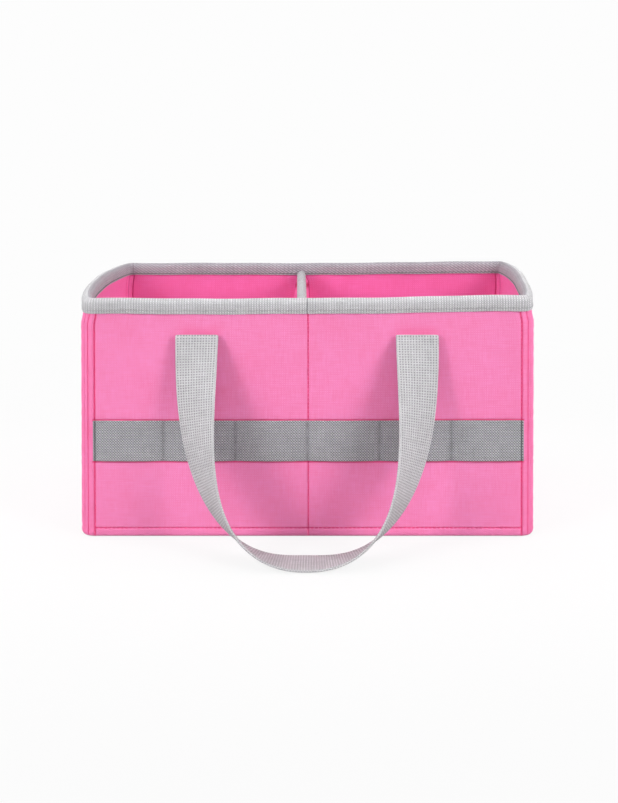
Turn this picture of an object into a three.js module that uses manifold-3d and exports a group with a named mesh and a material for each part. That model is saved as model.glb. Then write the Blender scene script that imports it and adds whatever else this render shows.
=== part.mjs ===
// A fabric diaper caddy: board-stiffened cloth walls, a tape-bound rim, a sewn divider, an elastic band
// on the front, two webbing carry handles that hang twisted, and a loose covered board in each half.
// Millimetres, +Z up, the front faces -Y, and the origin is on the floor under the middle.
import * as THREE from 'three';
import { mergeVertices } from 'three/addons/utils/BufferGeometryUtils.js';
import Module from 'manifold-3d';

// Driving dimensions of the box
const caddyLength = 340; // over the outer cloth, left to right
const caddyDepth = 200; // over the outer cloth, front to back
const caddyHeight = 182.6; // floor to the top of the rim
const clothThickness = 0.8;
const boardThickness = 3;
const layerGap = 0.3; // air between neighbouring layers
const baseRoll = 3.5; // radius where a wall's cloth turns under
const hemWidth = 5.5; // flat hem under the box, past the roll
const cornerEase = 1; // what an upright corner's radius has over the roll and the hem
const sideBow = 8.2; // how far the end walls bow out at the rim
const bowPower = 1.5; // how the bow grows with height
const bowRoundness = 2.4; // how full the bow is towards the corners
const stitchInset = 9; // corner stitching, from the outside of the box
const baseStitchHeight = 7; // stitching round the foot of the walls
const boardEase = 1; // between a board's edge and the stitching that closes its pocket
const boardCorner = 3; // corner radius of the flat boards

// Driving dimensions of the tape, the elastic and the divider
const tapeThickness = 1.2;
const tapeHeight = 11.1; // depth of the folded tape, from the top of what it binds
const flangeWidth = 10; // divider cloth turned along the wall and sewn to it
const elasticWidth = 31.5;
const elasticThickness = 1.2;
const elasticHeight = 59; // floor to the lower edge of the elastic
const elasticTail = 1.5; // elastic past its end stitching
const elasticLoops = 6;
const elasticSlack = 1; // how far each loop stands off between its stitch lines

// Driving dimensions of the handles
const webbingWidth = 31.5;
const webbingThickness = 2;
const handleSpacing = 163; // between the middles of a handle's two ends
const foldDrop = 29.3; // top of the rim to the fold where a handle turns down
const tabLength = 18; // sewn end of a handle, below the fold
const foldGap = 0.3; // webbing to the fold's axis
const loopReach = 62; // from the wall to the middle of the loop where it lies on the floor
const straightRun = 21; // length of a handle's arm before it starts to curve
const armRoundness = 2.65; // superellipse power across the loop
const loopRoundness = 2.3; // superellipse power down the loop
const twistDelay = 1.6; // how late along an arm the webbing twists

// Driving dimensions of the loose base boards
const padBoardThickness = 2.5;
const padClearance = 2.5; // round a covered base board
const padCorner = 6;
const padHem = 12; // cover turned in under the board

// Facets
const cornerSteps = 3; // in half an upright corner
const bowSteps = 14; // along an end wall
const wallLevels = 7; // up a wall
const rollSteps = 4;
const tapeSteps = 8; // over the top of a tape
const loopSteps = 36; // down one arm of a handle
const slackSteps = 8; // along one elastic loop
const arcSegments = 4; // in a board's corner

// Sizes that follow
const frontSide = 0;
const rightSide = 1;
const leftSide = 3;
const sideNames = ['front', 'right', 'back', 'left']; // in that order round the box
const halfCorner = Math.PI / 4;
const wallThickness = 2 * clothThickness + 2 * layerGap + boardThickness;
const cornerRadius = baseRoll + hemWidth + cornerEase;
const tapeInner = wallThickness / 2 + layerGap;
const tapeOuter = tapeInner + tapeThickness;
const boardUnderTape = Math.sqrt((tapeInner - layerGap) ** 2 - (boardThickness / 2) ** 2);
const clothTop = caddyHeight - tapeOuter;
const boardTop = clothTop + boardUnderTape;
const tapeLowerEdge = caddyHeight - tapeHeight;
const liningInset = wallThickness - clothThickness;
const liningFloor = clothThickness + layerGap;
const liningFoot = liningFloor + clothThickness + layerGap;
const dividerClothTop = tapeLowerEdge - layerGap;
const dividerTop = dividerClothTop + tapeOuter;
const elasticEnd = caddyLength / 2 - stitchInset + elasticTail;
const foldHeight = caddyHeight - foldDrop;
const foldAxisOut = caddyDepth / 2 + layerGap + webbingThickness + foldGap;

const wasm = await Module();
wasm.setup();
const caddy = new THREE.Group();

// Finishes
const outerCloth = { color: 0xf283b8, roughness: 0.9 };
const liningCloth = { color: 0xee5e9c, roughness: 0.9 };
const boardStock = { color: 0xb9a58a, roughness: 0.95 };
const greyTape = { color: 0xc4c3c8, roughness: 0.85 };
const greyElastic = { color: 0x99989d, roughness: 0.8 };
const greyWebbing = { color: 0xcac8cc, roughness: 0.8 };

function addPart(parent, name, geometry, finish) {
  const mesh = new THREE.Mesh(geometry, new THREE.MeshStandardMaterial({ metalness: 0, ...finish }));
  mesh.name = name;
  parent.add(mesh);
  return mesh;
}

// Whole-solid helpers
function signedVolume(points, faces) {
  const cross = new THREE.Vector3();
  let volume = 0;
  for (let i = 0; i < faces.length; i += 3) {
    cross.crossVectors(points[faces[i + 1]], points[faces[i + 2]]);
    volume += points[faces[i]].dot(cross);
  }
  return volume;
}

function closedGeometry(points, faces) {
  const outward = signedVolume(points, faces) < 0 ? faces.toReversed() : faces;
  const geometry = new THREE.BufferGeometry().setFromPoints(points);
  geometry.setIndex(outward);
  geometry.computeVertexNormals();
  return geometry;
}

// Skins a row of like sections. A ring closes on itself, and an open row gets an end cap on each end,
// triangulated on the flat profile that every section follows.
function loft(sections, profile, ring = false) {
  const count = profile.length;
  const faces = [];
  const runs = ring ? sections.length : sections.length - 1;
  for (let i = 0; i < runs; i++) {
    const here = i * count;
    const next = ((i + 1) % sections.length) * count;
    for (let j = 0; j < count; j++) {
      const k = (j + 1) % count;
      faces.push(here + j, next + j, next + k, here + j, next + k, here + k);
    }
  }
  if (!ring) {
    const clockwise = THREE.ShapeUtils.isClockWise(profile);
    const last = (sections.length - 1) * count;
    for (const cap of THREE.ShapeUtils.triangulateShape(profile, [])) {
      const [a, b, c] = clockwise ? cap.toReversed() : cap;
      faces.push(a, b, c, last + c, last + b, last + a);
    }
  }
  return closedGeometry(sections.flat(), faces);
}

function toManifold(geometry) {
  const bare = geometry.clone();
  bare.deleteAttribute('normal');
  bare.deleteAttribute('uv');
  const merged = mergeVertices(bare);
  const vertProperties = merged.attributes.position.array;
  const triVerts = new Uint32Array(merged.index.array);
  return new wasm.Manifold(new wasm.Mesh({ numProp: 3, vertProperties, triVerts }));
}

function fromManifold(solid) {
  const mesh = solid.getMesh();
  const geometry = new THREE.BufferGeometry();
  geometry.setAttribute('position', new THREE.BufferAttribute(mesh.vertProperties, mesh.numProp));
  geometry.setIndex(new THREE.BufferAttribute(mesh.triVerts, 1));
  geometry.computeVertexNormals();
  return geometry;
}

function range(from, to, steps) {
  return Array.from({ length: steps + 1 }, (_, i) => THREE.MathUtils.lerp(from, to, i / steps));
}

function roundedRectangle(left, right, bottom, top, radius) {
  const shape = new THREE.Shape();
  shape.absarc(right - radius, bottom + radius, radius, -Math.PI / 2, 0);
  shape.absarc(right - radius, top - radius, radius, 0, Math.PI / 2);
  shape.absarc(left + radius, top - radius, radius, Math.PI / 2, Math.PI);
  shape.absarc(left + radius, bottom + radius, radius, Math.PI, (3 * Math.PI) / 2);
  return shape;
}

function plate(shape, from, to) {
  const geometry = new THREE.ExtrudeGeometry(shape, {
    depth: to - from, bevelEnabled: false, curveSegments: arcSegments,
  });
  return geometry.translate(0, 0, from);
}

// The walls' plan: a place is a side, a distance along it from its middle, and an inset from the outer face.
// Past the straight stretch the place goes round half of the corner. The end walls bow out with height.
function isEnd(side) {
  return side === rightSide || side === leftSide;
}

function straightHalf(side) {
  return (isEnd(side) ? caddyDepth : caddyLength) / 2 - cornerRadius;
}

function seamAt(side) {
  return straightHalf(side) + cornerRadius * halfCorner;
}

function bowAt(side, along, z) {
  if (!isEnd(side)) return 0;
  const share = THREE.MathUtils.clamp(along / straightHalf(side), -1, 1);
  const rise = (Math.max(z, 0) / caddyHeight) ** bowPower;
  return sideBow * rise * (1 - Math.abs(share) ** bowRoundness);
}

function wallPoint(side, along, inset, z) {
  const straight = straightHalf(side);
  const middle = THREE.MathUtils.clamp(along, -straight, straight);
  const turn = (along - middle) / cornerRadius;
  const radius = cornerRadius - inset;
  const faceOut = (isEnd(side) ? caddyLength : caddyDepth) / 2 - cornerRadius;
  const across = middle + radius * Math.sin(turn);
  const out = faceOut + radius * Math.cos(turn) + bowAt(side, along, z);
  const heading = (side * Math.PI) / 2;
  return new THREE.Vector3(
    across * Math.cos(heading) + out * Math.sin(heading),
    across * Math.sin(heading) - out * Math.cos(heading),
    z,
  );
}

function wallStops(side, from, to) {
  const straight = straightHalf(side);
  const arcs = range(straight, seamAt(side), cornerSteps);
  const marks = [...range(-straight, straight, isEnd(side) ? bowSteps : 1), ...arcs, ...arcs.map((a) => -a)];
  const between = marks.filter((mark) => mark > from + layerGap && mark < to - layerGap);
  const sorted = [from, ...between.sort((a, b) => a - b), to];
  return sorted.filter((mark, i) => i === 0 || mark > sorted[i - 1]);
}

// A sheet of the wall, from its profile of inset (x) and height (y).
function wallLoft(side, from, to, profile) {
  const section = (along) => profile.map((p) => wallPoint(side, along, p.x, p.y));
  return loft(wallStops(side, from, to).map(section), profile);
}

// Up or down a sheet: its two ends and, between them, the levels that all sheets share.
function uprights(inset, from, to) {
  const levels = range(0, caddyHeight, wallLevels).filter((z) => (z - from) * (z - to) < 0);
  const ordered = from < to ? levels : levels.reverse();
  return [from, ...ordered, to].map((z) => new THREE.Vector2(inset, z));
}

function arcPoints(centre, radius, from, to, steps) {
  return range(from, to, steps).map(
    (a) => new THREE.Vector2(centre.x + radius * Math.cos(a), centre.y + radius * Math.sin(a)),
  );
}

function slabProfile(insetOut, insetIn, bottom, top) {
  return [...uprights(insetOut, top, bottom), ...uprights(insetIn, bottom, top)];
}

// Outer cloth: each wall's sheet rolls under the foot of the box and ends in a flat hem.
function rolledProfile() {
  const hemEdge = baseRoll + hemWidth;
  const centre = new THREE.Vector2(baseRoll, baseRoll);
  const down = Math.PI * 1.5;
  return [
    ...uprights(0, clothTop, baseRoll).slice(0, -1),
    ...arcPoints(centre, baseRoll, Math.PI, down, rollSteps),
    new THREE.Vector2(hemEdge, 0),
    new THREE.Vector2(hemEdge, clothThickness),
    ...arcPoints(centre, baseRoll - clothThickness, down, Math.PI, rollSteps),
    ...uprights(clothThickness, baseRoll, clothTop).slice(1),
  ];
}

function planShape(inset) {
  const halfLength = caddyLength / 2 - inset;
  const halfDepth = caddyDepth / 2 - inset;
  return roundedRectangle(-halfLength, halfLength, -halfDepth, halfDepth, cornerRadius - inset);
}

function addOuterCloth() {
  const profile = rolledProfile();
  sideNames.forEach((name, side) => {
    const edge = seamAt(side) - layerGap / 2;
    addPart(caddy, `outer_${name}_panel`, wallLoft(side, -edge, edge, profile), outerCloth);
  });
  const baseInset = baseRoll + hemWidth + layerGap;
  addPart(caddy, 'outer_base_panel', plate(planShape(baseInset), 0, clothThickness), outerCloth);
}

function addLining() {
  const profile = slabProfile(liningInset, wallThickness, liningFoot, clothTop);
  sideNames.forEach((name, side) => {
    const edge = seamAt(side) - layerGap;
    addPart(caddy, `lining_${name}`, wallLoft(side, -edge, edge, profile), liningCloth);
  });
  const floorTop = liningFloor + clothThickness;
  addPart(caddy, 'lining_base', plate(planShape(wallThickness), liningFloor, floorTop), liningCloth);
}

// Stiffening boards: two flat ones in each long wall, either side of the divider's seam, and a bowed one in
// each end wall.
function addBoards() {
  const insetOut = clothThickness + layerGap;
  const insetIn = insetOut + boardThickness;
  const bottom = baseStitchHeight + boardEase;
  const far = caddyLength / 2 - stitchInset - boardEase;
  const near = boardThickness / 2 + boardEase;
  const flat = plate(roundedRectangle(near, far, bottom, boardTop, boardCorner), 0, boardThickness);
  flat.rotateX(Math.PI / 2).translate(0, insetIn - caddyDepth / 2, 0);
  const turned = flat.clone().rotateZ(Math.PI);
  addPart(caddy, 'front_right_board', flat, boardStock);
  addPart(caddy, 'front_left_board', flat.clone().translate(-near - far, 0, 0), boardStock);
  addPart(caddy, 'back_left_board', turned, boardStock);
  addPart(caddy, 'back_right_board', turned.clone().translate(near + far, 0, 0), boardStock);
  const endFar = caddyDepth / 2 - stitchInset - boardEase;
  const profile = slabProfile(insetOut, insetIn, bottom, boardTop);
  addPart(caddy, 'right_side_board', wallLoft(rightSide, -endFar, endFar, profile), boardStock);
  addPart(caddy, 'left_side_board', wallLoft(leftSide, -endFar, endFar, profile), boardStock);
}

// Folded tape: two legs and a half-round top, as an inset-and-height profile round a given middle.
function tapeProfile(middle, top) {
  const crown = top - tapeOuter;
  const foot = top - tapeHeight;
  const centre = new THREE.Vector2(middle, crown);
  return [
    new THREE.Vector2(middle - tapeOuter, foot),
    ...arcPoints(centre, tapeOuter, Math.PI, 0, tapeSteps),
    new THREE.Vector2(middle + tapeOuter, foot),
    new THREE.Vector2(middle + tapeInner, foot),
    ...arcPoints(centre, tapeInner, 0, Math.PI, tapeSteps),
    new THREE.Vector2(middle - tapeInner, foot),
  ];
}

function addRimBinding() {
  const profile = tapeProfile(wallThickness / 2, caddyHeight);
  const sections = sideNames.flatMap((_, side) => {
    const stops = wallStops(side, -seamAt(side), seamAt(side)).slice(0, -1);
    return stops.map((along) => profile.map((p) => wallPoint(side, along, p.x, p.y)));
  });
  addPart(caddy, 'rim_binding', loft(sections, profile, true), greyTape);
}

// Divider: a board between two cloth covers whose ends turn along the long walls, with tape over its top.
function addDivider() {
  const outside = wallThickness / 2;
  const inside = outside - clothThickness;
  const coverEnd = caddyDepth / 2 - wallThickness - layerGap;
  const flangeInner = coverEnd - clothThickness;
  const flangeTip = outside + flangeWidth;
  const tapeEnd = caddyDepth / 2 - wallThickness / 2 - tapeOuter - layerGap;
  const cover = new THREE.Shape();
  cover.moveTo(inside, -coverEnd);
  cover.lineTo(flangeTip, -coverEnd);
  cover.lineTo(flangeTip, -flangeInner);
  cover.lineTo(outside, -flangeInner);
  cover.lineTo(outside, flangeInner);
  cover.lineTo(flangeTip, flangeInner);
  cover.lineTo(flangeTip, coverEnd);
  cover.lineTo(inside, coverEnd);
  const rightCover = plate(cover, liningFoot, dividerClothTop);
  addPart(caddy, 'divider_right_cover', rightCover, liningCloth);
  addPart(caddy, 'divider_left_cover', rightCover.clone().rotateZ(Math.PI), liningCloth);
  const boardHigh = dividerClothTop + boardUnderTape;
  const boardFace = roundedRectangle(-tapeEnd, tapeEnd, liningFoot, boardHigh, boardCorner);
  const board = plate(boardFace, -boardThickness / 2, boardThickness / 2);
  addPart(caddy, 'divider_board', board.rotateX(Math.PI / 2).rotateZ(Math.PI / 2), boardStock);
  const profile = tapeProfile(0, dividerTop);
  const sections = [-tapeEnd, tapeEnd].map((y) => profile.map((p) => new THREE.Vector3(p.x, y, p.y)));
  addPart(caddy, 'divider_binding', loft(sections, profile), greyTape);
}

// Elastic across the front, sewn down at even spaces so that it makes a row of flat loops.
function addElastic() {
  const top = elasticHeight + elasticWidth;
  const profile = [
    new THREE.Vector2(0, elasticHeight),
    new THREE.Vector2(0, top),
    new THREE.Vector2(-elasticThickness, top),
    new THREE.Vector2(-elasticThickness, elasticHeight),
  ];
  const sections = range(0, elasticLoops, elasticLoops * slackSteps).map((loop) => {
    const along = THREE.MathUtils.mapLinear(loop, 0, elasticLoops, -elasticEnd, elasticEnd);
    const standOff = layerGap + elasticSlack * Math.sin(Math.PI * loop) ** 2;
    return profile.map((p) => wallPoint(frontSide, along, p.x - standOff, p.y));
  });
  addPart(caddy, 'elastic_band', loft(sections, profile), greyElastic);
}

// Handle: two sewn ends, and a loop that starts at their folds, leans out and lies on the floor. In the
// leaning plane the loop's middle line runs straight and then follows a superellipse. The webbing's width
// starts in that plane and twists until the loop's bottom lies flat on the floor.
function loopSections() {
  const start = foldGap / 2;
  const drop = foldHeight - webbingThickness / 2 - layerGap;
  const away = loopReach - (foldAxisOut - caddyDepth / 2);
  const offAxis = foldGap + webbingThickness / 2;
  const lean = Math.atan2(away, drop) - Math.asin(offAxis / Math.hypot(away, drop));
  const length = Math.sqrt(away ** 2 + drop ** 2 - offAxis ** 2);
  const down = new THREE.Vector3(0, -Math.sin(lean), -Math.cos(lean));
  const out = new THREE.Vector3(0, -Math.cos(lean), Math.sin(lean));
  const right = new THREE.Vector3(1, 0, 0);
  const inPlane = (p) => right.clone().multiplyScalar(p.x).addScaledVector(down, p.y);
  const round = range(0, Math.PI / 2, loopSteps).map((a) => new THREE.Vector2(
    (-handleSpacing / 2) * Math.cos(a) ** (2 / armRoundness),
    straightRun + (length - straightRun) * Math.sin(a) ** (2 / loopRoundness),
  ));
  round[loopSteps].x = 0;
  const arm = [new THREE.Vector2(-handleSpacing / 2, start), ...round];
  const line = [...arm, ...arm.slice(0, -1).reverse().map((p) => new THREE.Vector2(-p.x, p.y))];
  const travelled = [0];
  for (let i = 1; i < arm.length; i++) travelled.push(travelled[i - 1] + arm[i].distanceTo(arm[i - 1]));
  const armLength = travelled[arm.length - 1];
  const lastTwist = Math.PI / 2 + lean;
  return line.map((point, i) => {
    const before = line[Math.max(i - 1, 0)];
    const after = line[Math.min(i + 1, line.length - 1)];
    const heading = after.clone().sub(before).normalize();
    const mirrored = Math.min(i, line.length - 1 - i);
    const share = (travelled[mirrored] / armLength) ** twistDelay;
    const twist = lastTwist * Math.sin((Math.PI / 2) * share);
    const inward = inPlane(new THREE.Vector2(heading.y, -heading.x));
    const width = inward.multiplyScalar(Math.cos(twist)).addScaledVector(out, Math.sin(twist));
    const face = new THREE.Vector3().crossVectors(width, inPlane(heading)).normalize();
    const middle = inPlane(point).addScaledVector(out, offAxis);
    const halfWidth = webbingWidth / 2;
    const halfThick = webbingThickness / 2;
    const corner = (w, t) => middle.clone().addScaledVector(width, w).addScaledVector(face, t);
    return [
      corner(-halfWidth, -halfThick),
      corner(halfWidth, -halfThick),
      corner(halfWidth, halfThick),
      corner(-halfWidth, halfThick),
    ];
  });
}

function addHandle(name, turn) {
  const handle = new THREE.Group();
  handle.rotation.z = turn;
  caddy.add(handle);
  const pivot = new THREE.Group();
  pivot.position.set(0, -foldAxisOut, foldHeight);
  handle.add(pivot);
  const section = [
    new THREE.Vector2(-webbingWidth / 2, -webbingThickness / 2),
    new THREE.Vector2(webbingWidth / 2, -webbingThickness / 2),
    new THREE.Vector2(webbingWidth / 2, webbingThickness / 2),
    new THREE.Vector2(-webbingWidth / 2, webbingThickness / 2),
  ];
  addPart(pivot, `${name}_loop`, loft(loopSections(), section), greyWebbing);
  for (const [sideName, place] of [['left', -1], ['right', 1]]) {
    const tab = new THREE.BoxGeometry(webbingWidth, webbingThickness, tabLength);
    const mesh = addPart(pivot, `${name}_${sideName}_tab`, tab, greyWebbing);
    mesh.position.set(
      place * Math.cos(turn) * (handleSpacing / 2),
      foldGap + webbingThickness / 2,
      -(foldGap + tabLength) / 2,
    );
  }
}

// Loose base board in one half: the cover wraps the board's top and edges and turns in under it.
function addBasePad(name, side) {
  const near = wallThickness / 2 + padClearance;
  const far = caddyLength / 2 - wallThickness - padClearance;
  const halfDepth = caddyDepth / 2 - wallThickness - padClearance;
  const bottom = liningFoot;
  const boardBottom = bottom + clothThickness + layerGap;
  const boardHigh = boardBottom + padBoardThickness;
  const top = boardHigh + layerGap + clothThickness;
  const boardInset = clothThickness + layerGap;
  const outline = (inset) => {
    const ends = [side * (near + inset), side * (far - inset)].sort((a, b) => a - b);
    const radius = Math.max(padCorner - inset, clothThickness);
    return roundedRectangle(...ends, inset - halfDepth, halfDepth - inset, radius);
  };
  const wrap = toManifold(plate(outline(0), bottom, top));
  const hollow = toManifold(plate(outline(clothThickness), bottom + clothThickness, top - clothThickness));
  const mouth = toManifold(plate(outline(padHem), bottom - clothThickness, boardBottom));
  const cover = wrap.subtract(hollow).subtract(mouth);
  addPart(caddy, `${name}_base_cover`, fromManifold(cover), liningCloth);
  addPart(caddy, `${name}_base_board`, plate(outline(boardInset), boardBottom, boardHigh), boardStock);
}

addOuterCloth();
addLining();
addBoards();
addRimBinding();
addDivider();
addElastic();
addHandle('front_handle', 0);
addHandle('back_handle', Math.PI);
addBasePad('left', -1);
addBasePad('right', 1);

export default caddy;
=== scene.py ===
"""Looks of a fabric diaper caddy: cloth, tape, elastic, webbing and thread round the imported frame."""
import math

import bpy
import numpy as np
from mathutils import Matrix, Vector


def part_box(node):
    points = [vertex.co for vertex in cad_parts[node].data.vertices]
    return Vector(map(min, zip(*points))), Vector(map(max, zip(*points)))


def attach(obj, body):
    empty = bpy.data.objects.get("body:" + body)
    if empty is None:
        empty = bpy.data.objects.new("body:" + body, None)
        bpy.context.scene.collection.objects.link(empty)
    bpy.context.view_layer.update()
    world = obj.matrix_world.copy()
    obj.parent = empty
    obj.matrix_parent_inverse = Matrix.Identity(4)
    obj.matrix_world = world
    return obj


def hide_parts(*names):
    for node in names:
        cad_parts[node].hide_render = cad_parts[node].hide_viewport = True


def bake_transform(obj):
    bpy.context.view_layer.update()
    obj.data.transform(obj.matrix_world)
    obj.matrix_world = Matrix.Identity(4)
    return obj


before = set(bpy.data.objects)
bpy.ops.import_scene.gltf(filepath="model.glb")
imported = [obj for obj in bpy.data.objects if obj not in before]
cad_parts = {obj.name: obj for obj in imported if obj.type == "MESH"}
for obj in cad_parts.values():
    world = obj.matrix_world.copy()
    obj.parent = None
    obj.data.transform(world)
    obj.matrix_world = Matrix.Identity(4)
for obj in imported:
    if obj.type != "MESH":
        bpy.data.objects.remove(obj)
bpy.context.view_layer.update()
MM = 0.001

# Sizes read from the frame
front_low, front_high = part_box("outer_front_panel")
rim_low, rim_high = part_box("rim_binding")
divider_low, divider_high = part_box("divider_binding")
cover_low, cover_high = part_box("divider_right_cover")
elastic_low, elastic_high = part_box("elastic_band")
tab_low, tab_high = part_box("front_handle_right_tab")
board_low, board_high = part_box("front_right_board")
HALF_DEPTH = -front_low.y
CLOTH_TOP = front_high.z
RIM_TOP = rim_high.z
TAPE_FOOT = rim_low.z
LINING_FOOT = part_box("lining_front")[0].z
HANDLE_HALF = (tab_low.x + tab_high.x) / 2
WEB_WIDTH = tab_high.x - tab_low.x
WEB_THICK = tab_high.y - tab_low.y
FOLD_GAP = 0.3 * MM
FOLD_OUT = -tab_low.y + FOLD_GAP
FOLD_HEIGHT = tab_high.z + FOLD_GAP / 2

# Sizes of the box
HALF_LENGTH = 171.4 * MM
CORNER = 10 * MM
ROLL, ROLL_RISE = 3.5 * MM, 2.6 * MM
HEM = 5.5 * MM
CLOTH = 0.8 * MM
LINING_INSET = 4.4 * MM
WALL = LINING_INSET + CLOTH
BOARD_INSET = CLOTH + 0.3 * MM
BOARD_THICK = 3 * MM
SEAM_GAP = 0.05 * MM
STITCH_INSET = 10.4 * MM
WELT_FOLD = 4.9 * MM
BASE_STITCH = 7 * MM
PULL_HEIGHT = FOLD_HEIGHT + 3 * MM
FRONT_LINE_SHIFT = 0.7 * MM
FRONT, RIGHT, BACK, LEFT = range(4)
SIDES = {"front": FRONT, "right": RIGHT, "back": BACK, "left": LEFT}

# How the soft box stands: its ends bow out, its back rim moved to the right, its rim rises to the right
BOW = {LEFT: 10 * MM, RIGHT: 6.4 * MM}
BOW_POWER = 1.5
BOW_ROUNDNESS = 2.4
BACK_SHIFT = 3.8 * MM
RIM_RISE = 2.1 * MM
RISE_FROM, RISE_TO = 15 * MM, 150 * MM
BACK_RISE_LOSS = 0.25
TAPER = 3 * MM
RIM_PINCH = 1.6 * MM
PINCH_FROM = 163 * MM
BACK_FLARE = {LEFT: 2.4 * MM, RIGHT: 4.6 * MM}
FLARE_FROM, FLARE_TO = 0.25, 0.9

# How far the outer cloth is drawn in at its lines, in mm, and how much painted shade darkens it there
LINE_DEPTHS = {"stitch": 0.9, "seam": 0.5, "fold": 0.8, "base": 0.8, "centre": 0.9, "elastic": 0.6,
               "pull_and_shade": 0.3}
LINE_PAINTED_SHADES = {"stitch": 0.85, "seam": 0.1, "fold": 0.45, "base": 0.15, "centre": 0.5, "elastic": 0.9,
               "pull_and_shade": 0.22}
# Painted shade on the corner welts, which turn away from the front lamps
WELT_PAINTED_SHADE = 0.12

# Sizes of the tape
TAPE_INNER = WALL / 2 + 0.3 * MM
TAPE_THICK = 1.2 * MM
DIVIDER_TAPE = 0.8 * MM
INNER_LEG_SHORT = 1.2 * MM
FOOT_SLIM = 0.55 * MM
FOOT_DROP = 0.45 * MM
CROWN_PRESS = 0.3 * MM
FRONT_SAG = 0.4 * MM
SAG_AT, SAG_WIDTH = -75 * MM, 55 * MM
TAPE_STITCH = 1.95 * MM

# Sizes of the divider; -1 stands for its left cover and 1 for its right one
LEAN, LEAN_BACK = 4.2 * MM, 3.8 * MM
CORNER_SLANT = {-1: 8 * MM, 1: 2.8 * MM}
SLANT_DROP = {-1: 35 * MM, 1: 5 * MM}
COVER_SLACK = {-1: 3 * MM, 1: 1 * MM}
# Painted shade at each cover's corner seam, where it meets the wall
COVER_SEAM_SHADE = {-1: 0.3, 1: 0.9}
COVER_FOLD = 0.9 * MM
FLANGE_SHARES = np.array([0, 0.2, 0.4, 0.6, 0.8, 0.93, 1])
TURN_SHARES = np.array([0.15, 0.4, 0.7, 1])

# Sizes of the elastic and the thread
ELASTIC_LOOPS = 6
ELASTIC_LINES = np.linspace(elastic_low.x, elastic_high.x, ELASTIC_LOOPS + 1)
ELASTIC_THICK = 1.2 * MM
ELASTIC_SLACK = 1 * MM
ELASTIC_TRIM = 1.5 * MM
END_STITCH = 1.6 * MM
STITCH_PITCH, STITCH_LENGTH = 3.2 * MM, 2.6 * MM
ELASTIC_PITCH, ELASTIC_LENGTH = 2.4 * MM, 1.9 * MM
THREAD_RADIUS = 0.32 * MM
THREAD_SINK = 0.28 * MM

# Sizes of a handle
LOOP_REACH = 59.5 * MM
STRAIGHT_RUN = 6 * MM
ARM_ROUNDNESS = 2.48
LOOP_ROUNDNESS = 2.99
FLOOR_GAP = 0.3 * MM
OFF_AXIS = FOLD_GAP + WEB_THICK / 2
END_WIDTH = 0.92
BORDER = 0.96
BACK_HANDLE_SHIFT = BACK_SHIFT * FOLD_HEIGHT / RIM_TOP
TAB_STITCH = 3 * MM

# Sizes of a loose base board's cover
PAD_HEM = 12 * MM
PAD_EDGE = 1.6 * MM
PAD_DOME = 0.5 * MM
PAD_CORNER = 6 * MM
PAD_STITCH = 4 * MM
PAD_CLOTH = 0.6 * MM


# Shapes
def columns(*parts):
    """An array whose last axis holds the given parts, broadcast together."""
    return np.stack(np.broadcast_arrays(*parts), axis=-1)


def ridge(distance, width):
    return np.exp(-((distance / width) ** 2))


def smooth(value, start, end):
    share = np.clip((value - start) / (end - start), 0, 1)
    return share * share * (3 - 2 * share)


def stops(start, end, step, lines=(), reach=3 * MM):
    """Places from start to end, close together round each of the given lines."""
    beside = np.array([0.1, 0.2, 0.34, 0.5, 0.72, 1])
    near = np.concatenate([-beside[::-1], [0], beside]) * reach
    even = np.linspace(start, end, max(2, round((end - start) / step) + 1))
    far = [place for place in even if all(abs(place - line) > reach for line in lines)]
    fine = [line + offset for line in lines for offset in near]
    places = np.unique(np.round([start, end, *far, *fine], 6))
    return places[(places >= start) & (places <= end)]


def is_end(side):
    return side in (RIGHT, LEFT)


def straight_half(side):
    return (HALF_DEPTH if is_end(side) else HALF_LENGTH) - CORNER


def seam_at(side):
    return straight_half(side) + CORNER * math.pi / 4


def stitch_at(side):
    return straight_half(side) + CORNER - STITCH_INSET


def line_shift(side):
    """How far to the right the wall's stitch lines lie off its middle."""
    return FRONT_LINE_SHIFT if side == FRONT else 0.0


def wall(side, along, inset, height):
    """Points of a settled wall, from places along its side, insets from its outer face and heights."""
    straight = straight_half(side)
    middle = np.clip(along, -straight, straight)
    turn = (along - middle) / CORNER
    radius = CORNER - inset
    across = middle + radius * np.sin(turn)
    out = (HALF_LENGTH if is_end(side) else HALF_DEPTH) - CORNER + radius * np.cos(turn)
    if is_end(side):
        rise = np.clip(height / RIM_TOP, 0, None) ** BOW_POWER
        out = out + BOW[side] * rise * (1 - np.abs(middle / straight) ** BOW_ROUNDNESS)
    heading = side * math.pi / 2
    x = across * math.cos(heading) + out * math.sin(heading)
    y = across * math.sin(heading) - out * math.cos(heading)
    return settle(columns(x, y, height))


def up_and_back(y, z):
    """Shares of the way up to the rim and of the way from the front to the back."""
    return np.clip(z / RIM_TOP, 0, None), np.clip((y + HALF_DEPTH) / (2 * HALF_DEPTH), 0, 1)


def settle(points):
    """Moves points of the box with the soft box: drawn in and shifted towards the rim, which rises."""
    x, y, z = np.moveaxis(points, -1, 0)
    up, back = up_and_back(y, z)
    narrowing = TAPER * up + RIM_PINCH * smooth(z, PINCH_FROM, TAPE_FOOT)
    flare = np.where(x < 0, BACK_FLARE[LEFT], BACK_FLARE[RIGHT]) * up ** 2
    flare *= smooth(back, FLARE_FROM, FLARE_TO)
    moved_x = x * (1 + (flare - narrowing) / HALF_LENGTH) + BACK_SHIFT * up * back
    moved_z = z + RIM_RISE * up ** 3 * smooth(x, RISE_FROM, RISE_TO) * (1 - BACK_RISE_LOSS * back)
    return columns(moved_x, y, moved_z)


def lengths(points):
    """Distance travelled along a row of points."""
    steps = np.linalg.norm(np.diff(points, axis=0), axis=-1)
    return np.concatenate([[0], np.cumsum(steps)])


def closed_lengths(profile):
    return lengths(np.concatenate([profile, profile[:1]]))


def at_lengths(points, travelled, places):
    """Points at the given distances along a row of points."""
    return columns(*(np.interp(places, travelled, axis) for axis in points.T))


def unit(vectors):
    return vectors / np.linalg.norm(vectors, axis=1, keepdims=True)


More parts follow.
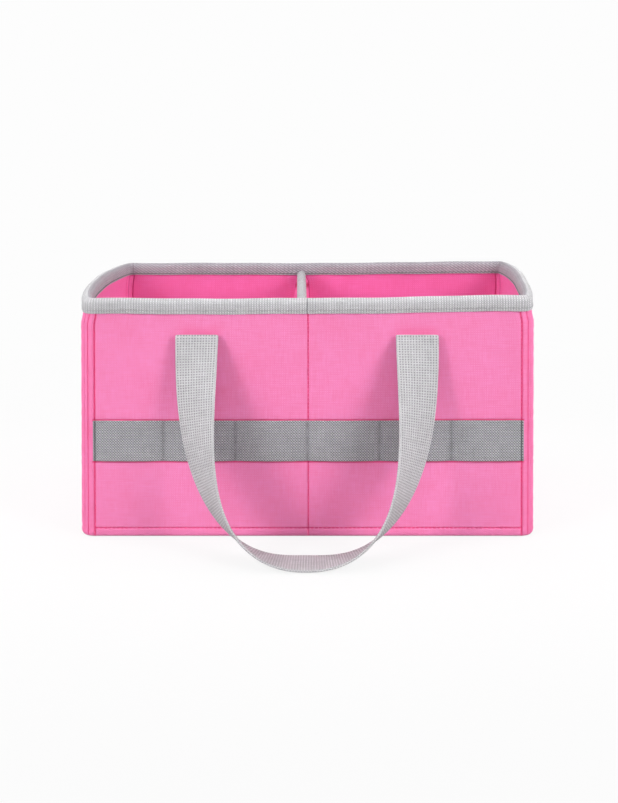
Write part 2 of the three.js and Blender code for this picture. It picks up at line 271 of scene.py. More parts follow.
def slab_profile(near, far, levels):
    """A section with one face at the place near and its other face at the place far."""
    return np.concatenate([columns(near, levels), columns(far, levels)[::-1]])


# Meshes
def add_object(name, data):
    thing = bpy.data.objects.new(name, data)
    bpy.context.scene.collection.objects.link(thing)
    return thing


def add_mesh(name, points, faces, uvs, material, sharp=45):
    mesh = bpy.data.meshes.new(name)
    mesh.from_pydata(points.tolist(), [], faces.tolist())
    mesh.uv_layers.new(name="cloth").data.foreach_set("uv", uvs.astype(np.float32).ravel())
    mesh.shade_smooth()
    mesh.set_sharp_from_angle(angle=math.radians(sharp))
    mesh.materials.append(material)
    return add_object(name, mesh)


def shade_creases(piece, depth):
    """Tells the piece's material how much painted shade each point gets, from 0 to 1: shade painted into
    creases, seams and gaps.
    """
    values = np.clip(depth, 0, 1).astype(np.float32).ravel()
    piece.data.attributes.new("crease_shade", "FLOAT", "POINT").data.foreach_set("value", values)


def signed_volume(points, faces):
    a, b, c, d = (points[faces[:, k]] for k in range(4))
    return (np.cross(b, c) * a).sum() + (np.cross(c, d) * a).sum()


def rung_faces(count):
    """Quads that close a ring of points, from its first half across to its second half."""
    rung = np.arange(count // 2 - 1)
    return columns(rung, rung + 1, count - 2 - rung, count - 1 - rung)


def skin_faces(here, after, count):
    """Quads between neighbouring rings, whose points are numbered from here and from after."""
    j = np.arange(count)
    k = (j + 1) % count
    return columns(here + j, after + j, after + k, here + k).reshape(-1, 4)


def sweep(name, rings, across, section, material, ring=False, sharp=45, lining=None, lined=None):
    """Skins a row of closed sections. A section's first half is one face of a sheet and its second half
    the other, so that a strip closes each end of an open row. The UV distances are across and those round
    section. Where lined is true along the section, the skin gets the lining material."""
    rows, count = rings.shape[:2]
    row = np.arange(rows if ring else rows - 1)[:, None]
    faces = skin_faces(row * count, ((row + 1) % rows) * count, count)
    grid = columns(across[:, None], closed_lengths(section))
    corners = [grid[:-1, :-1], grid[1:, :-1], grid[1:, 1:], grid[:-1, 1:]]
    uvs = np.stack(corners, axis=2).reshape(-1, 4, 2)
    if not ring:
        start = rung_faces(count)
        ends = np.concatenate([start, start[:, ::-1] + (rows - 1) * count])
        faces = np.concatenate([faces, ends])
        uvs = np.concatenate([uvs, np.zeros((len(ends), 4, 2))])
    points = rings.reshape(-1, 3)
    if signed_volume(points, faces) < 0:
        faces, uvs = faces[:, ::-1], uvs[:, ::-1]
    piece = add_mesh(name, points, faces, uvs, material, sharp)
    if lining:
        piece.data.materials.append(lining)
        index = np.zeros(len(faces), np.int32)
        index[:len(row) * count] = np.tile(lined, len(row))
        piece.data.polygons.foreach_set("material_index", index)
    return piece


def belongs(piece, body, slot, *nodes):
    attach(piece, body)
    if nodes:
        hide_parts(*nodes)


# Materials
FIBRE_SCALE, BLOTCH_SCALE, SPECK_SCALE = 1400, 45, 800
THREAD_STRETCHES = (70, 1100, 1), (1100, 70, 1)
CLOTH_SURFACE = {"Roughness": 0.85, "Specular IOR Level": 0.25, "Sheen Weight": 0.1,
                 "Sheen Roughness": 0.5}


def add_node(tree, kind, inputs, **settings):
    node = tree.nodes.new("ShaderNode" + kind)
    for key, value in settings.items():
        setattr(node, key, value)
    for key, value in inputs.items():
        if isinstance(value, bpy.types.NodeSocket):
            tree.links.new(value, node.inputs[key])
        else:
            node.inputs[key].default_value = value
    return node


def calculate(tree, operation, *values):
    return add_node(tree, "Math", dict(enumerate(values)), operation=operation).outputs[0]


def wave(tree, distance, pitch):
    return calculate(tree, "COSINE", calculate(tree, "MULTIPLY", distance, 2 * math.pi / pitch))


def noise(tree, vector, scale, detail):
    inputs = {"Vector": vector, "Scale": scale, "Detail": detail, "Roughness": 0.6}
    return add_node(tree, "TexNoise", inputs).outputs["Fac"]


def remap(tree, value, low, high, to_low, to_high):
    inputs = {"Value": value, "From Min": low, "From Max": high, "To Min": to_low, "To Max": to_high}
    return add_node(tree, "MapRange", inputs).outputs[0]


def mix(tree, share, first, second, blend="MIX"):
    inputs = {0: share, 6: first, 7: second}
    return add_node(tree, "Mix", inputs, data_type="RGBA", blend_type=blend).outputs[2]


def new_material(name, surface):
    """A material, its node tree and its shader, whose constant values are set from surface."""
    material = bpy.data.materials.new(name)
    material.use_nodes = True
    shader = material.node_tree.nodes["Principled BSDF"]
    for key, value in surface.items():
        shader.inputs[key].default_value = value
    return material, material.node_tree, shader


def weave_height(tree, uv, pitch, weights):
    """Height of a weave: waves along, across, at the crossings and on a diagonal, by their weights."""
    parts = add_node(tree, "SeparateXYZ", {"Vector": uv})
    along, across = parts.outputs["X"], parts.outputs["Y"]
    first, second = wave(tree, along, pitch[0]), wave(tree, across, pitch[1])
    crossing = calculate(tree, "MULTIPLY", first, second)
    slant = calculate(tree, "DIVIDE", across, pitch[1] / pitch[0])
    diagonal = wave(tree, calculate(tree, "ADD", along, slant), pitch[0])
    height = 0.0
    for weight, part in zip(weights, (first, second, crossing, diagonal)):
        if weight:
            height = calculate(tree, "MULTIPLY_ADD", part, weight, height)
    return height


def cloth_shade(tree, place, fibres, yarn, mottle, slub):
    """How light a cloth is, round 1: uneven by its fibres, in blotches and, with slub, by its threads."""
    blotches = noise(tree, place.outputs["Object"], BLOTCH_SCALE, 3)
    shade = calculate(tree, "MULTIPLY", remap(tree, fibres, 0.25, 0.75, 1 - yarn, 1 + yarn),
                      remap(tree, blotches, 0.3, 0.7, 1 - mottle, 1 + mottle))
    for stretch in THREAD_STRETCHES if slub else ():
        inputs = {0: place.outputs["UV"], 1: stretch}
        thread = add_node(tree, "VectorMath", inputs, operation="MULTIPLY").outputs[0]
        uneven = remap(tree, noise(tree, thread, 1, 2), 0.3, 0.7, 1 - slub, 1 + slub)
        shade = calculate(tree, "MULTIPLY", shade, uneven)
    return shade


def woven(name, tone, gap, pitch, weights, depth, mottle=0.05, yarn=0.1, slub=0.0, crease_shade=None, crisp=0.6,
          red=1.0):
    """A woven cloth. weights are the shares of threads along, threads across, crossings and a diagonal in
    its height; tone and gap are the colours of high and low places, depth the relief, crisp the share of
    the height over which the colour changes, slub how much single threads differ, crease_shade the colour
    of the shade painted into creases, seams and gaps, and red the power by which the red channel follows
    the shades."""
    material, tree, shader = new_material(name, CLOTH_SURFACE)
    place = add_node(tree, "TexCoord", {})
    reach = crisp * sum(abs(weight) for weight in weights)
    level = remap(tree, weave_height(tree, place.outputs["UV"], pitch, weights), -reach, reach, 0.0, 1.0)
    fibres = noise(tree, place.outputs["UV"], FIBRE_SCALE, 2)
    shade = cloth_shade(tree, place, fibres, yarn, mottle, slub)
    channels = {"Red": calculate(tree, "POWER", shade, red), "Green": shade, "Blue": shade}
    shades = add_node(tree, "CombineColor", channels).outputs[0]
    colour = mix(tree, 1.0, mix(tree, level, (*gap, 1), (*tone, 1)), shades, "MULTIPLY")
    # Painted shade: the colour is mixed towards the shade colour as far as the mesh's attribute asks.
    if crease_shade:
        fold = add_node(tree, "Attribute", {}, attribute_name="crease_shade").outputs["Fac"]
        colour = mix(tree, fold, colour, (*crease_shade, 1))
    tree.links.new(colour, shader.inputs["Base Color"])
    relief = calculate(tree, "MULTIPLY_ADD", fibres, 0.25, level)
    bump = add_node(tree, "Bump", {"Height": relief, "Strength": 1.0, "Distance": depth})
    tree.links.new(bump.outputs[0], shader.inputs["Normal"])
    return material


def speckled(name, colour, roughness=0.7, speck=0.1):
    """A plain material with specks a little lighter and darker than its colour."""
    material, tree, shader = new_material(name, {"Roughness": roughness, "Specular IOR Level": 0.2})
    place = add_node(tree, "TexCoord", {})
    specks = noise(tree, place.outputs["Object"], SPECK_SCALE, 3)
    low = tuple(channel * (1 - speck) for channel in colour)
    high = tuple(min(1, channel * (1 + speck)) for channel in colour)
    share = remap(tree, specks, 0.3, 0.7, 0.0, 1.0)
    tree.links.new(mix(tree, share, (*low, 1), (*high, 1)), shader.inputs["Base Color"])
    return material


# The crease_shade colours below are painted shade for seams, creases and gaps.
PINK_WEAVE = dict(pitch=(1.7 * MM, 1.7 * MM), weights=(0.2, 0.2, 0.6, 0), depth=0.08 * MM, yarn=0.06,
                  slub=0.07, red=0.2)
TAPE_WEAVE = dict(pitch=(2.03 * MM, 1.6 * MM), weights=(0.4, 0.1, 0.5, 0), depth=0.25 * MM, yarn=0.2,
                  slub=0.08, crease_shade=(0.14, 0.135, 0.145))
outer_cloth = woven("outer_cloth", (0.945, 0.272, 0.53), (0.905, 0.207, 0.463),
                    crease_shade=(0.88, 0.045, 0.2), **PINK_WEAVE)
lining_cloth = woven("lining_cloth", (0.885, 0.179, 0.458), (0.825, 0.12, 0.372),
                     crease_shade=(0.45, 0.018, 0.09), **PINK_WEAVE)
tape_cloth = woven("tape", (0.715, 0.705, 0.725), (0.375, 0.37, 0.385), **TAPE_WEAVE)
# The divider's tape is the rim tape made darker: painted shade.
shaded_divider_tape_cloth = woven("divider_tape", (0.57, 0.565, 0.585), (0.27, 0.265, 0.28), **TAPE_WEAVE)
# The rim tape's inner leg is a darker, pinker copy of the tape: painted shade and a painted pink
# reflection.
shaded_inner_tape_cloth = woven("inner_tape", (0.45, 0.43, 0.465), (0.26, 0.235, 0.265), (3.5 * MM, 2.2 * MM),
                         (0.15, 0.15, 0.3, 0.4), 0.2 * MM, yarn=0.2, slub=0.08, crease_shade=(0.10, 0.06, 0.08))
elastic_cloth = woven("elastic", (0.57, 0.57, 0.6), (0.13, 0.13, 0.14), (2.0 * MM, 2.06 * MM),
                      (0.05, 0.15, 0.7, 0.1), 0.25 * MM, yarn=0.3, slub=0.1, crease_shade=(0.035, 0.035, 0.04))
webbing_cloth = woven("webbing", (0.725, 0.715, 0.735), (0.26, 0.255, 0.265), (1.9 * MM, 2.1 * MM),
                      (-0.3, -0.3, -0.4, 0), 0.3 * MM, yarn=0.2, slub=0.1, crisp=0.8)
# The strap's selvedges: their own weave, lighter than the webbing as a painted highlight along its edges.
selvedge_and_highlight_cloth = woven("selvedge_and_highlight", (0.62, 0.61, 0.63), (0.46, 0.455, 0.47), (1.9 * MM, 1.2 * MM),
                       (0.7, 0, 0.3, 0), 0.15 * MM, yarn=0.15)
cardboard = speckled("cardboard", (0.50, 0.38, 0.26), 0.95, 0.12)
pink_thread = speckled("pink_thread", (0.8, 0.05, 0.21))
grey_thread = speckled("grey_thread", (0.42, 0.415, 0.43))
dark_thread = speckled("dark_thread", (0.16, 0.158, 0.165))
elastic_thread = speckled("elastic_thread", (0.24, 0.238, 0.25))


# Outer cloth
def outer_lines(side, along, height):
    """How close the outer cloth's points lie to its stitch lines, seams and folds, from 0 to 1."""
    place = np.abs(along - line_shift(side))
    lines = {"stitch": ridge(place - stitch_at(side), 0.55 * MM)}
    lines["seam"] = ridge(np.abs(along) - seam_at(side), 0.6 * MM)
    lines["fold"] = ridge(place - straight_half(side) - WELT_FOLD, 0.5 * MM)
    within = smooth(stitch_at(side) - place, -0.5 * MM, 0.5 * MM)
    lines["base"] = ridge(height - BASE_STITCH, 0.6 * MM) * within
    if side == FRONT:
        # At the elastic's edges the cloth is drawn in and gets painted shade for the elastic's shadow.
        edges = elastic_low.z - 0.8 * MM, elastic_high.z - 0.2 * MM
        nearest = np.minimum(*(np.abs(height - edge) for edge in edges))
        lines["elastic"] = ridge(nearest, 0.5 * MM) * smooth(elastic_high.x - place, -0.5 * MM, 0.5 * MM)
    if not is_end(side):
        lines["centre"] = ridge(place, 0.55 * MM)
        # Above each strap fold the cloth is drawn in a little and gets painted shade, where the standing
        # fold shades it.
        beside = np.abs(place - HANDLE_HALF) - WEB_WIDTH / 2
        lines["pull_and_shade"] = ridge(height - PULL_HEIGHT, 3.5 * MM) * smooth(-beside, -2 * MM, 4 * MM)
    return lines


def outer_relief(side, along, height):
    """How far the outer cloth is drawn in: at its stitch lines and seams, with slack between them."""
    lines = outer_lines(side, along, height)
    drawn = sum(LINE_DEPTHS[name] * MM * line for name, line in lines.items())
    place = np.abs(along - line_shift(side))
    drawn -= 0.5 * MM * ridge(place - stitch_at(side) - 1.6 * MM, 1.0 * MM)
    drawn -= 0.3 * MM * ridge(place - straight_half(side) - WELT_FOLD - 2.2 * MM, 1.4 * MM)
    pucker = 0.12 * MM * np.sin(height / (1.15 * MM) + 2 * np.sin(height / (9 * MM)))
    drawn += pucker * ridge(place - stitch_at(side), 4 * MM)
    if not is_end(side):
        drawn += pucker * ridge(place, 3.5 * MM)
    ripple = 0.1 * MM * np.sin(along / (1.2 * MM) + np.sin(along / (13 * MM)))
    drawn += ripple * ridge(height - BASE_STITCH, 3 * MM)
    slack = np.sin(along / (23 * MM) + side) * np.sin(height / (31 * MM) + 1.3 * side)
    slack += 0.6 * np.sin(along / (11 * MM) + height / (17 * MM) + 2 * side)
    inside = smooth(stitch_at(side) - place, 2 * MM, 20 * MM) * smooth(height, ROLL, 25 * MM)
    return drawn - 0.16 * MM * slack * inside


def outer_painted_shade(side, along, height):
    """How much painted shade the outer cloth's points get at its lines; the corner welts get a little
    painted shade too.
    """
    lines = outer_lines(side, along, height)
    welt_shade = WELT_PAINTED_SHADE * smooth(np.abs(along - line_shift(side)) - stitch_at(side), 0, 0.5 * MM)
    return welt_shade + sum(LINE_PAINTED_SHADES[name] * line for name, line in lines.items())


def outer_profile():
    """Insets and heights down the outer face, round the rolled foot and along the hem, and back inside."""
    lines = (BASE_STITCH, elastic_low.z, elastic_high.z, PULL_HEIGHT)
    heights = stops(ROLL_RISE, CLOTH_TOP, 5 * MM, lines)[::-1]
    angles = np.linspace(math.pi, 1.5 * math.pi, 9)[1:]
    hem = np.linspace(ROLL, ROLL + HEM, 3)[1:]

    def face(depth):
        roll_inset = ROLL + (ROLL - depth) * np.cos(angles)
        roll = columns(roll_inset, ROLL_RISE + (ROLL_RISE - depth) * np.sin(angles))
        return np.concatenate([columns(depth, heights), roll, columns(hem, depth)])

    return np.concatenate([face(0), face(CLOTH)[::-1]])


def side_stops(side, edge, lines):
    arc = np.linspace(straight_half(side), edge, 30)
    flat = stops(-straight_half(side), straight_half(side), 5 * MM, lines)
    return np.unique(np.round(np.concatenate([-arc, flat, arc]), 6))


def add_outer_cloth():
    profile = outer_profile()
    for name, side in SIDES.items():
        lines = [line_shift(side) + place for place in (-stitch_at(side), 0, stitch_at(side))]
        along = side_stops(side, seam_at(side) - SEAM_GAP, lines)
        place, level = along[:, None], profile[:, 1]
        inset = profile[:, 0] + outer_relief(side, place, level) * smooth(level, 0, ROLL)
        rings = wall(side, place, inset, level)
        piece = sweep(f"{name}_cloth", rings, along, profile, outer_cloth)
        shade_creases(piece, outer_painted_shade(side, place, level))
        belongs(piece, "caddy", "outer_cloth", f"outer_{name}_panel")


def add_plate(name, node, slot, material, wave_height):
    """A flat cloth that follows a frame node's box, a little uneven."""
    low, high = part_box(node)
    x = np.linspace(low.x, high.x, 60)
    profile = slab_profile(high.z, low.z, np.linspace(low.y, high.y, 40))
    place, y, z = x[:, None], profile[:, 1], profile[:, 0]
    rise = wave_height * (1 + np.sin(place / (19 * MM)) * np.sin(y / (27 * MM))) / 2
    piece = sweep(name, columns(place, y, z + rise), x, profile, material)
    belongs(piece, "caddy", slot, node)


# Lining
def lining_relief(side, along, height):
    """How far the lining stands in from its flat place: folded at the corners, slack between them."""
    fold = np.abs(along) - straight_half(side)
    drawn = 0.9 * MM * ridge(fold - 0.5 * MM, 0.8 * MM)
    slack = np.sin(along / (29 * MM) + 2 * side) * np.sin(height / (37 * MM) + side)
    return 0.25 * MM * slack * smooth(-fold, 2 * MM, 20 * MM) - drawn


def add_lining():
    profile = slab_profile(LINING_INSET, WALL, np.linspace(CLOTH_TOP, LINING_FOOT, 30))
    for name, side in SIDES.items():
        edge, fold = seam_at(side) - SEAM_GAP, straight_half(side)
        along = side_stops(side, edge, [-fold, fold])
        place, level = along[:, None], profile[:, 1]
        inset = profile[:, 0] + lining_relief(side, place, level)
        rings = wall(side, place, inset, level)
        piece = sweep(f"{name}_lining", rings, along, profile, lining_cloth)
        # Painted shade at the lining's corner folds and seams.
        painted_shade = 0.5 * ridge(np.abs(place) - fold, 0.7 * MM) + 0.4 * ridge(np.abs(place) - edge, 0.9 * MM)
        shade_creases(piece, np.broadcast_to(painted_shade, rings.shape[:2]))
        belongs(piece, "caddy", "lining_cloth", f"lining_{name}")


# Boards
def board_span(node, side):
    """Where along its side a wall board starts and ends."""
    low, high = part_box(node)
    if is_end(side):
        return low.y, high.y
    return (low.x, high.x) if side == FRONT else (-high.x, -low.x)


def add_boards():
    heights = np.linspace(board_high.z, board_low.z, 20)
    profile = slab_profile(BOARD_INSET, BOARD_INSET + BOARD_THICK, heights)
    halves = ("left", "right")
    boards = {f"{name}_{half}_board": SIDES[name] for name in ("front", "back") for half in halves}
    boards.update({f"{half}_side_board": SIDES[half] for half in halves})
    for node, side in boards.items():
        along = np.linspace(*board_span(node, side), 24)
        rings = wall(side, along[:, None], profile[:, 0], profile[:, 1])
        piece = sweep(f"{node}_stock", rings, along, profile, cardboard)
        belongs(piece, "caddy", "board", node)


# Tape
def tape_profile(middle, top, foot, inner_foot, thick=TAPE_THICK):
    """Insets and heights over a folded tape, from its outer foot to its inner foot and back inside."""
    outer = TAPE_INNER + thick
    crown = top - outer
    line = foot + TAPE_STITCH
    rise, fall = (stops(start, crown, 1.6 * MM, (line,), 1.6 * MM) for start in (foot, inner_foot))
    angles = np.linspace(math.pi, 0, 17)[1:-1]

    def face(radius, slim):
        outer_leg = columns(middle - radius + slim * ridge(rise - foot, 1.5 * MM), rise)
        over = columns(middle + radius * np.cos(angles), crown + radius * np.sin(angles))
        return np.concatenate([outer_leg, over, columns(middle + radius, fall[::-1])])

    return np.concatenate([face(outer, FOOT_SLIM * thick / TAPE_THICK), face(TAPE_INNER, 0)[::-1]])


def tape_relief(profile, foot, middle):
    """Inset change where the tape's stitching draws its two legs together."""
    drawn = 0.3 * MM * ridge(profile[:, 1] - foot - TAPE_STITCH, 0.7 * MM)
    return np.where(profile[:, 0] < middle, drawn, -drawn)


def rim_painted_shade(side, along, profile, is_outer):
    """How much painted shade the rim tape's points get: at stitches, the front's middle and its joint."""
    above = profile[:, 1] - TAPE_FOOT - TAPE_STITCH
    beat = 0.5 + 0.5 * np.cos(2 * math.pi * along / STITCH_PITCH)
    depth = np.where(is_outer, 0.25 * beat * ridge(above, 0.7 * MM), 0.3 * ridge(above, 0.4 * MM))
    if side == FRONT:
        depth += 0.6 * is_outer * ridge(along, 0.5 * MM)
    if side == BACK:
        depth += 0.75 * ridge(along - straight_half(side) - 2 * MM, 0.6 * MM)
    return depth


def rim_rings(side, along, profile, is_outer):
    """The rim tape's sections along a side: drawn in by stitching, a little wavy, sagging in front."""
    drawn = tape_relief(profile, TAPE_FOOT, WALL / 2)
    shift = drawn + 0.12 * MM * np.sin(along / (7 * MM) + side) * np.sin(along / (19 * MM))
    waves = 0.25 * MM * np.sin(along / (31 * MM) + 2 * side) * np.sin(along / (13 * MM))
    level = profile[:, 1] + waves
    if side == FRONT:
        shift += np.where(is_outer, 0.8 * MM, 0) * ridge(along, 0.8 * MM)
        level -= FRONT_SAG * ridge(along - SAG_AT, SAG_WIDTH)
    return wall(side, along, profile[:, 0] + shift, level)


def add_rim():
    foot, middle = TAPE_FOOT - FOOT_DROP, WALL / 2
    profile = tape_profile(middle, RIM_TOP - CROWN_PRESS, foot, foot + INNER_LEG_SHORT)
    is_outer = profile[:, 0] < middle
    rings, painted_shade, across, travelled = [], [], [], 0.0
    for side in SIDES.values():
        edge = seam_at(side)
        along = side_stops(side, edge, [0] if side == FRONT else [])[:-1]
        rings.append(rim_rings(side, along[:, None], profile, is_outer))
        painted_shade.append(rim_painted_shade(side, along[:, None], profile, is_outer))
        across.append(travelled + along + edge)
        travelled += 2 * edge
    across = np.concatenate([*across, [travelled]])
    inner_leg = profile[:, 0] > middle + 0.5 * MM
    piece = sweep("rim_tape", np.concatenate(rings), across, profile, tape_cloth, ring=True,
                  lining=shaded_inner_tape_cloth, lined=inner_leg)
    shade_creases(piece, np.concatenate(painted_shade))
    belongs(piece, "caddy", "tape", "rim_binding")


# Divider
def lean(points):
    """Leans the divider to the left with height, more at the back."""
    x, y, z = np.moveaxis(points, -1, 0)
    up, back = up_and_back(y, z)
    return columns(x - (LEAN + LEAN_BACK * back) * up, y, z)


def cover_rings(sign, heights, depth):
    """A face of a divider cover: along the front wall, over a slanted corner that opens below the tape,
    along the divider and out along the back wall. depth is how far inside the cover the face lies."""
    tip = cover_high.x
    wall_y = cover_high.y - CLOTH + depth
    web_x = WALL / 2 - depth
    opening = np.clip((cover_high.z - heights) / SLANT_DROP[sign], 0, 1)
    radius = COVER_FOLD + CORNER_SLANT[sign] * opening + (2 - math.sqrt(2)) * depth
    flange, turn, run = FLANGE_SHARES[:, None], TURN_SHARES[:, None], np.linspace(0, 1, 30)[1:, None]
    along_wall = columns(tip + (web_x + radius - tip) * flange, -wall_y)
    over_corner = columns(web_x + radius * (1 - turn), radius * turn - wall_y)
    half = np.concatenate([along_wall, over_corner, columns(web_x, (radius - wall_y) * (1 - run))])
    x, y = np.moveaxis(np.concatenate([half, half[:-1][::-1] * np.array([1, -1])]), -1, 0)
    below = np.clip(divider_low.z - heights, 0, None)
    bulge = COVER_SLACK[sign] * (1 - np.exp(-below / (9 * MM))) * smooth(heights, 40 * MM, 120 * MM)
    x += bulge * smooth(wall_y - np.abs(y), 8 * MM, 35 * MM)
    return columns(sign * x, y, heights)


def cover_painted_shade(sign, rings):
    """How much painted shade a divider cover's points get: at its corner seams and in the gap below the
    tape.
    """
    corner = len(FLANGE_SHARES) - 1
    row = np.minimum(np.arange(len(rings)), np.arange(len(rings))[::-1])[:, None]
    in_corner = (row >= corner) * (row <= corner + len(TURN_SHARES))
    # Painted shadow in the gap below the divider's tape
    gap_shadow = ridge(rings[..., 2] - divider_low.z + MM, 2.5 * MM) * in_corner
    return COVER_SEAM_SHADE[sign] * ridge(row - corner, 0.6) + 0.9 * gap_shadow


def add_divider_covers():
    heights = stops(cover_low.z, cover_high.z, 5 * MM, lines=(divider_low.z,), reach=12 * MM)[::-1]
    for name, sign in (("right", 1), ("left", -1)):
        face = cover_rings(sign, heights, 0.0)
        inside = cover_rings(sign, heights, CLOTH)
        rings = lean(np.concatenate([face, inside[:, ::-1]], axis=1))
        across = lengths(face[:, -1])
        section = rings[len(rings) // 2]
        piece = sweep(f"divider_{name}_cloth", rings, across, section, lining_cloth, sharp=30)
        shade_creases(piece, cover_painted_shade(sign, rings))
        belongs(piece, "caddy", "lining_cloth", f"divider_{name}_cover")


def add_divider_board():
    low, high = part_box("divider_board")
    y = np.linspace(low.y, high.y, 12)
    profile = slab_profile(low.x, high.x, np.linspace(low.z, high.z, 12))
    rings = lean(columns(profile[:, 0], y[:, None], profile[:, 1]))
    piece = sweep("divider_stock", rings, y, profile, cardboard)
    belongs(piece, "caddy", "board", "divider_board")


def add_divider_tape():
    foot = divider_low.z
    profile = tape_profile(0.0, divider_high.z, foot, foot, DIVIDER_TAPE)
    inset = profile[:, 0] + tape_relief(profile, foot, 0.0)
    y = np.linspace(divider_low.y, divider_high.y, 60)
    sag = 0.5 * MM * np.sin(y / (41 * MM))[:, None]
    rings = lean(columns(inset, y[:, None], profile[:, 1] + sag))
    piece = sweep("divider_tape", rings, y, profile, shaded_divider_tape_cloth)
    belongs(piece, "caddy", "tape", "divider_binding")


# Elastic
def elastic_stand(along):
    """How far the elastic stands off the cloth, least at its stitch lines."""
    loop = (along - elastic_low.x) / (elastic_high.x - elastic_low.x) * ELASTIC_LOOPS
    return 0.25 * MM + ELASTIC_SLACK * np.abs(np.sin(np.pi * loop)) ** 0.8


def add_elastic():
    start, end = elastic_low.x + ELASTIC_TRIM, elastic_high.x
    foot, top = elastic_low.z, elastic_high.z
    along = stops(start, end, 3 * MM, lines=[start, *ELASTIC_LINES[1:-1], end])
    levels = stops(foot, top, 2 * MM, lines=(foot, top), reach=2 * MM)
    edge = np.minimum(levels - foot, top - levels)
    round_off = 0.45 * MM * ridge(edge, 0.5 * MM)
    face, back = columns(-ELASTIC_THICK + round_off, levels), columns(-round_off * 0.3, levels)
    profile = np.concatenate([face, back[::-1]])
    place = along[:, None]
    tip = np.minimum(place - start, end - place)
    fold = 0.5 * MM * ridge(tip - 0.6 * MM, 0.5 * MM) - 0.5 * MM * ridge(tip - END_STITCH, 0.4 * MM)
    inset = profile[:, 0] - elastic_stand(place) - fold
    nearest = np.min(np.abs(place - ELASTIC_LINES), axis=1, keepdims=True)
    middle = (foot + top) / 2
    level = middle + (profile[:, 1] - middle) * (1 - 0.012 * ridge(nearest, 6 * MM))
    rings = wall(FRONT, place, inset, level)
    piece = sweep("elastic_strip", rings, along, profile, elastic_cloth)
    # Painted shade: dark lines at the elastic's edges and end stitches, lighter ones along its inner
    # stitch lines.
    edge_shade = 0.5 * ridge(np.concatenate([edge, edge[::-1]]), 0.35 * MM)
    band_shade = np.where(tip < 5 * MM, 0, 0.22 * ridge(nearest, 1.4 * MM))
    shade_creases(piece, edge_shade + ridge(tip - END_STITCH, 0.4 * MM) + band_shade)
    belongs(piece, "caddy", "elastic", "elastic_band")


# Handles
def loop_plane():
    """Lean of the plane that a loop hangs in, and the loop's length from the fold down to the floor."""
    drop = FOLD_HEIGHT - WEB_THICK / 2 - FLOOR_GAP
    away = LOOP_REACH - (FOLD_OUT - HALF_DEPTH)
    slant = math.atan2(away, drop) - math.asin(OFF_AXIS / math.hypot(away, drop))
    return slant, math.sqrt(away ** 2 + drop ** 2 - OFF_AXIS ** 2)


def loop_line(length):
    """Evenly spaced places down a loop's left half in its plane, and their shares of the way."""
    angle = np.linspace(0, math.pi / 2, 400)
    x = -HANDLE_HALF * np.maximum(np.cos(angle), 0) ** (2 / ARM_ROUNDNESS)
    v = STRAIGHT_RUN + (length - STRAIGHT_RUN) * np.sin(angle) ** (2 / LOOP_ROUNDNESS)
    line = np.concatenate([[[-HANDLE_HALF, 0]], columns(x, v)])
    travelled = lengths(line)
    even = np.linspace(0, travelled[-1], 150)
    return at_lengths(line, travelled, even), even / even[-1]


def strap_arm():
    """Middle line, width direction and face direction down a loop's left half, about the fold's axis."""
    slant, length = loop_plane()
    right = np.array([1.0, 0, 0])
    down = np.array([0, -math.sin(slant), -math.cos(slant)])
    out = np.array([0, -math.cos(slant), math.sin(slant)])
    line, share = loop_line(length)
    heading = np.gradient(line, axis=0)
    heading[-1] = (1, 0)
    heading = unit(heading)
    twist = (math.pi / 2 + slant) * (share + (share ** 4 - share ** 7) / 3)
    inward = heading[:, 1:] * right - heading[:, :1] * down
    width = np.cos(twist)[:, None] * inward + np.sin(twist)[:, None] * out
    face = np.cross(width, heading[:, :1] * right + heading[:, 1:] * down)
    return line[:, :1] * right + line[:, 1:] * down + OFF_AXIS * out, width, face


def strap_end():
    """The same for the sewn end, whose width is drawn in a little, and for the fold over it."""
    end = np.linspace(tab_low.z - FOLD_HEIGHT, -0.5 * MM, 16)
    turn = np.linspace(0, math.pi - loop_plane()[0], 26)[:-1]
    over_y, over_z = np.cos(turn), np.sin(turn)
    straight = np.ones(len(end))
    fold = columns(-HANDLE_HALF, OFF_AXIS * over_y, OFF_AXIS * over_z)
    middle = np.concatenate([columns(-HANDLE_HALF, OFF_AXIS, end), fold])
    wide = np.concatenate([np.linspace(END_WIDTH, 1, len(end)), np.ones(len(turn))])
    face = np.concatenate([columns(0, -straight, 0), columns(0, -over_y, -over_z)])
    return middle, columns(wide, 0, 0), face


def strap_section():
    half = WEB_WIDTH / 2
    borders = half * np.array([-0.97, -0.93, 0.93, 0.97])
    across = np.unique(np.concatenate([np.linspace(-half, half, 15), borders]))
    thick = WEB_THICK / 2 * (0.35 + 0.65 * np.sqrt(1 - (np.abs(across) / half) ** 14))
    return np.concatenate([columns(across, -thick), columns(across, thick)[::-1]])


def add_handle(name, turned):
    """A handle's strap from end to end; turned is 1 for the front handle and -1 for the back one."""
    flip = np.array([-1.0, 1, 1])
    halves = [np.concatenate(parts) for parts in zip(strap_end(), strap_arm())]
    middle, width, face = (np.concatenate([half, (half * flip)[:-1][::-1]]) for half in halves)
    section = strap_section()
    rings = middle[:, None] + section[:, :1] * width[:, None] + section[:, 1:] * face[:, None]
    rings = (rings + np.array([0, -FOLD_OUT, FOLD_HEIGHT])) * np.array([turned, turned, 1])
    if turned < 0:
        rings += np.array([BACK_HANDLE_SHIFT, 0, 0])
    # The strap's edge strips take the selvedge cloth with its painted highlight.
    border = np.abs(section[:, 0]) > BORDER * WEB_WIDTH / 2
    piece = sweep(f"{name}_strap", rings, lengths(middle), section, webbing_cloth,
                  lining=selvedge_and_highlight_cloth, lined=border & np.roll(border, -1))
    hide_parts(f"{name}_loop", f"{name}_left_tab", f"{name}_right_tab")
    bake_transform(piece)


